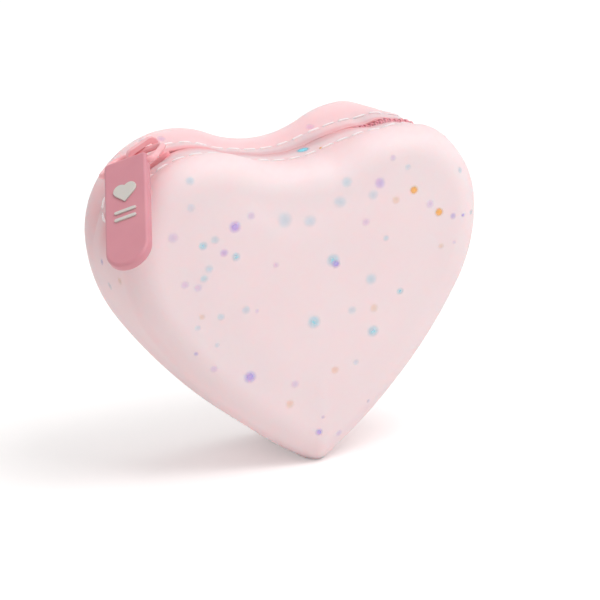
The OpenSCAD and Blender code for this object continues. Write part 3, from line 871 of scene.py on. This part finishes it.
BLUE = srgb(110, 228, 250)
TEAL = srgb(150, 228, 250)
PURPLE = srgb(172, 160, 250)
LILAC = srgb(208, 184, 245)
ORANGE = srgb(255, 188, 84)
SEEN_FLECKS = [
    (BLUE, 0.95, [(303, 150, 6)]),
    (BLUE, 0.42, [
        (203, 246, 4), (236, 257, 4), (333, 260, 6), (314, 322, 6), (373, 331, 5.5), (400, 291, 3.5)]),
    (BLUE, 0.27, [
        (215, 240, 4), (190, 181, 4), (209, 269, 4), (204, 279, 4), (371, 279, 5.5), (352, 310, 4),
        (246, 310, 4), (221, 317, 3.5), (471, 212, 3), (460, 170, 3), (110, 286, 4), (386, 238, 3)]),
    (TEAL, 0.26, [
        (285, 220, 7), (310, 221, 6), (340, 202, 6), (347, 182, 5), (198, 328, 3), (217, 345, 2.5),
        (356, 362, 3), (373, 195, 5), (408, 167, 3), (191, 208, 4), (143, 141, 4)]),
    (PURPLE, 0.54, [(235, 227, 5.4), (250, 377, 5.6), (319, 432, 3.5), (336, 264, 4), (463, 215, 2)]),
    (PURPLE, 0.36, [(224, 253, 4), (380, 183, 5), (453, 216, 3), (102, 262, 3), (196, 354, 2.2)]),
    (LILAC, 0.28, [
        (173, 238, 5), (185, 285, 4), (198, 288, 4), (251, 216, 4), (430, 204, 4), (366, 222, 4),
        (214, 369, 3.5), (295, 384, 4), (339, 433, 3.3), (257, 311, 2), (276, 265, 3), (323, 417, 2),
        (368, 401, 2), (310, 127, 4), (393, 158, 3), (454, 242, 2), (161, 139, 4)]),
    (ORANGE, 0.85, [(414, 190, 4), (439, 212, 4), (168, 149, 2), (321, 148, 2)]),
    (ORANGE, 0.23, [
        (396, 200, 4), (290, 404, 4), (374, 308, 4), (335, 370, 4), (202, 317, 3), (120, 281, 4),
        (441, 246, 3)])]


def fleck_finish(field):
    return {
        "Base Color": field.attribute("tint", "Color"),
        "Roughness": field.spots(0.15) * 0.12 + 0.42,
        "Alpha": field.attribute("cover") * (field.spots(1.5) * 0.3 + 0.85)}


FLECK = new_material("fleck", {"IOR": 1.41}, fleck_finish)


def add_fleck(bm, tree, spot, normal, radius, colour, cover):
    """A thin lens bent over the skin, whose cover fades from its middle to none at its rim."""
    tint = bm.verts.layers.float_color["tint"]
    shade = bm.verts.layers.float["cover"]
    ball = bmesh.ops.create_uvsphere(bm, u_segments=FLECK_SIDES, v_segments=FLECK_RINGS, radius=1)
    lens = ball["verts"]
    heights = [vert.co.z for vert in lens]
    size = Matrix.Diagonal((radius, radius * random.uniform(FLECK_OVAL, 1), 0, 1))
    turn = normal.to_track_quat("Z", "Y").to_matrix().to_4x4()
    bmesh.ops.transform(bm, matrix=Matrix.Translation(spot) @ turn @ size, verts=lens)
    for vert, height in zip(lens, heights):
        vert[tint] = colour
        vert[shade] = cover * max(height, 0) ** 3
        level = FLECK_LIFT if height > FLECK_HEM else FLECK_RIM if height > -FLECK_HEM else FLECK_ROOT
        under, out, index, far = tree.find_nearest(vert.co)
        vert.co = under + level * out


def build_flecks():
    bm = bmesh.new()
    bm.verts.layers.float_color.new("tint")
    bm.verts.layers.float.new("cover")
    random.seed(11)
    mesh = skin.data
    corners = [vert.co / MM for vert in mesh.vertices]
    tree = BVHTree.FromPolygons(corners, [tuple(polygon.vertices) for polygon in mesh.polygons])
    for colour, cover, pixels in SEEN_FLECKS:
        for u, v, radius in pixels:
            way = camera_right * (u - CENTRE_X) + camera_up * (CENTRE_Y - v) - camera_back * FOCAL
            spot, normal, index, far = tree.ray_cast(camera_place, way.normalized())
            if spot is not None:
                add_fleck(bm, tree, spot, normal, radius * FLECK_SCALE, colour, cover)
    hidden = []
    for polygon in mesh.polygons:
        spot = polygon.center / MM
        outward = (spot - Vector((0, 0, CORE_Z))).dot(polygon.normal) > 0
        seen = polygon.normal.dot(camera_back) > FACING_AWAY
        by_the_zip = abs(spot.y) < ZIP_FREE_Y and spot.z > ZIP_FREE_Z
        if outward and not seen and not by_the_zip:
            hidden.append(polygon)
    for polygon in random.choices(hidden, [p.area for p in hidden], k=STRAY_FLECKS):
        colour = random.choice([BLUE, TEAL, PURPLE, LILAC, ORANGE])
        cover = random.choice(STRAY_COVERS)
        radius = random.uniform(*STRAY_RADII)
        add_fleck(bm, tree, polygon.center / MM, polygon.normal, radius, colour, cover)
    finish_piece("flecks", bm, FLECK, "purse")


build_flecks()

# Slider and ring
# A cast slider and a bent wire ring, both in glossy pink enamel that lies a little uneven over the casting.
SLIDER_EDGE = 0.22
RING_EDGE = 0.05


def enamel_finish(field):
    cloud = field.spots(0.35)
    return {
        "Base Color": field.blend(cloud, srgb(243, 160, 168), srgb(251, 186, 190)),
        "Roughness": field.spots(1.2) * 0.18 + 0.24,
        "Normal": field.bump(field.spots(0.9, 3.0), 0.03)}


ENAMEL = new_material("enamel", {"IOR": 1.5, "Coat Weight": 0.4, "Coat Roughness": 0.12}, enamel_finish)
dress("slider", ENAMEL, SLIDER_EDGE)
dress("pull_ring", ENAMEL, RING_EDGE)

# Tab
# A soft moulded tab on the ring's far bar: square with small corners at the top, and round at its free end.
SLIDER_TURN = math.radians(115)
TAB_SWING = math.radians(22)
TAB_W = 10.3
TAB_L = 30
TAB_T = 2.4
TAB_HOLE = 1.9
TAB_CORNER = 1.1
TAB_EDGE = 0.75
TAB_RINGS = 6
CORNER_STEPS = 8
END_STEPS = 40
EDGE_SEGMENTS = 6
RIM_HOLD = 0.1

tab_joint = next(joint for joint in frame["joints"] if joint["name"] == "tab_swing")
tab_axis = Vector(tab_joint["axis"]).normalized()
slider_up = Vector((math.cos(SLIDER_TURN), 0, math.sin(SLIDER_TURN)))
tab_up = Matrix.Rotation(TAB_SWING, 3, tab_axis) @ slider_up.cross(tab_axis).normalized()
tab_turn = Matrix((tab_axis, tab_up, tab_axis.cross(tab_up))).transposed()
TAB_PLACE = Matrix.Translation(Vector(tab_joint["pos_m"]) / MM) @ tab_turn.to_4x4()


def soft_plastic(name, dark, light):
    """Satin rubbery plastic with a fine moulded grain."""
    constants = {"IOR": 1.5, "Subsurface Weight": 0.1, "Subsurface Scale": 0.5 * MM}
    return new_material(name, constants, lambda field: {
        "Base Color": field.blend(field.spots(0.12), dark, light),
        "Roughness": field.spots(0.5) * 0.15 + 0.38,
        "Normal": field.bump(field.spots(3.5), 0.012)})


def arc(x, y, radius, start, end, steps):
    """Points of an arc in the tab's own plane, between two angles in degrees."""
    turns = [math.radians(start + (end - start) * k / steps) for k in range(steps + 1)]
    return [Vector((x + radius * math.cos(t), y + radius * math.sin(t), 0)) for t in turns]


def add_slab(bm, points, low, high, edge, both=True):
    """A slab on an outline of points, with its upper edge rounded, or both."""
    face = bm.faces.new([bm.verts.new(p + Vector((0, 0, low))) for p in points])
    made = bmesh.ops.extrude_face_region(bm, geom=[face], use_keep_orig=True)["geom"]
    lid = next(part for part in made if isinstance(part, bmesh.types.BMFace))
    bmesh.ops.translate(bm, vec=(0, 0, high - low), verts=lid.verts)
    rims = list(lid.edges) + (list(face.edges) if both else [])
    bmesh.ops.bevel(
        bm, geom=rims, offset=edge, affect="EDGES", segments=EDGE_SEGMENTS, profile=0.5, material=-1)
    flats = [part for part in bm.faces if len(part.verts) == len(points)]
    bmesh.ops.inset_individual(bm, faces=flats, thickness=RIM_HOLD)


def build_tab():
    bm = bmesh.new()
    half = TAB_W / 2
    low = TAB_HOLE + half - TAB_L
    high = TAB_HOLE - TAB_CORNER
    inset = half - TAB_CORNER
    levels = [low + (high - low) * k / TAB_RINGS for k in range(1, TAB_RINGS)]
    right = [Vector((half, y, 0)) for y in levels]
    left = [Vector((-half, y, 0)) for y in levels[::-1]]
    corners = arc(inset, high, TAB_CORNER, 0, 90, CORNER_STEPS)
    corners += arc(-inset, high, TAB_CORNER, 90, 180, CORNER_STEPS)
    rim = arc(0, low, half, 180, 360, END_STEPS) + right + corners + left
    add_slab(bm, rim, -TAB_T / 2, TAB_T / 2, TAB_EDGE)
    bmesh.ops.transform(bm, matrix=TAB_PLACE, verts=bm.verts)
    material = soft_plastic("tab_plastic", srgb(206, 134, 146), srgb(219, 149, 159))
    finish_piece("tab_pad", bm, material, "tab", ["puller"])


build_tab()

# Heart and bars
# A plain heart over two short bars, moulded in pale plastic and raised on the tab's front.
MOTIF_Y = -8.5
MOTIF_R = 1.6
MOTIF_T = 0.4
MOTIF_EDGE = 0.16
MOTIF_ROOT = 0.1
BAR_L = 5.2
BAR_W = 0.8
BAR_STEP = 2
HEART_STEPS = 20
BAR_STEPS = 10


def build_motif():
    bm = bmesh.new()
    root = TAB_T / 2 - MOTIF_ROOT
    top = TAB_T / 2 + MOTIF_T
    lobe = MOTIF_R * math.sqrt(0.5)
    y = MOTIF_Y + lobe
    heart = [Vector((0, MOTIF_Y - 2 * lobe, 0))]
    heart += arc(lobe, y, MOTIF_R, -45, 135, HEART_STEPS)
    heart += arc(-lobe, y, MOTIF_R, 45, 225, HEART_STEPS)[1:]
    add_slab(bm, heart, root, top, MOTIF_EDGE, False)
    end = BAR_W / 2
    for k in (1, 2):
        y = MOTIF_Y - 2 * MOTIF_R - k * BAR_STEP + end
        bar = arc(BAR_L / 2 - end, y, end, -90, 90, BAR_STEPS)
        bar += arc(end - BAR_L / 2, y, end, 90, 270, BAR_STEPS)
        add_slab(bm, bar, root, top, MOTIF_EDGE, False)
    bmesh.ops.transform(bm, matrix=TAB_PLACE, verts=bm.verts)
    material = soft_plastic("motif_plastic", srgb(205, 199, 192), srgb(216, 211, 205))
    finish_piece("tab_motif", bm, material, "tab", ["puller_motif"])


build_motif()

# Floor, light and background
# A plain white floor that keeps the shadow, an even white surround, and two soft lights, one from the right
# of the front and one from above. Here lengths are in metres, and powers in watts.
FLOOR_SIZE = 2.0
FLOOR_WHITE = 0.14
FLOOR_GLOW = 2.1
SURROUND = 0.5
KEY_PLACE = (0.8, -1.2, 2.1)
KEY_SIZE = 1.3
KEY_POWER = 30
TOP_PLACE = (0.3, 0.2, 2.2)
TOP_SIZE = 1.4
TOP_POWER = 9


def seen_rays(field):
    """1 for what the camera sees, straight or in a reflection, and 0 for light that falls on the object."""
    camera_ray, glossy, through = (
        field.node("ShaderNodeLightPath", {}, {}, name)
        for name in ("Is Camera Ray", "Is Glossy Ray", "Is Transmission Ray"))
    return field.math("MINIMUM", camera_ray + glossy + through, 1)


def build_floor():
    bm = bmesh.new()
    bmesh.ops.create_grid(bm, x_segments=1, y_segments=1, size=FLOOR_SIZE)
    mesh = bpy.data.meshes.new("floor")
    bm.to_mesh(mesh)
    bm.free()
    material = new_material("floor", {"Roughness": 0.9, "Specular IOR Level": 0.1}, lambda field: {
        "Base Color": field.blend(field.spots(0.01), srgb(252, 250, 249), srgb(254, 252, 251))})
    tree = material.node_tree
    field = Field(tree)
    glow = field.node("ShaderNodeEmission", {}, {"Color": (1, 1, 1, 1), "Strength": FLOOR_GLOW})
    plain = Field(tree, tree.nodes["Principled BSDF"].outputs[0])
    shown = field.node("ShaderNodeMixShader", {}, {0: seen_rays(field) * FLOOR_WHITE, 1: plain, 2: glow})
    field.feed(tree.nodes["Material Output"].inputs["Surface"], shown)
    mesh.materials.append(material)
    floor = bpy.data.objects.new("floor", mesh)
    bpy.context.collection.objects.link(floor)


def add_light(name, place, size, power):
    """A soft square light that faces the purse."""
    data = bpy.data.lights.new(name, "AREA")
    data.size = size
    data.energy = power
    light = bpy.data.objects.new(name, data)
    bpy.context.collection.objects.link(light)
    light.location = place
    light.rotation_euler = (CAMERA_TARGET * MM - Vector(place)).to_track_quat("-Z", "Y").to_euler()


build_floor()
world = bpy.data.worlds.new("World")
bpy.context.scene.world = world
world.use_nodes = True
sky = Field(world.node_tree)
background = world.node_tree.nodes["Background"]
background.inputs["Color"].default_value = (1, 1, 1, 1)
sky.feed(background.inputs["Strength"], seen_rays(sky) * (1 - SURROUND) + SURROUND)
add_light("key", KEY_PLACE, KEY_SIZE, KEY_POWER)
add_light("top", TOP_PLACE, TOP_SIZE, TOP_POWER)
bpy.context.scene.view_settings.view_transform = "Standard"
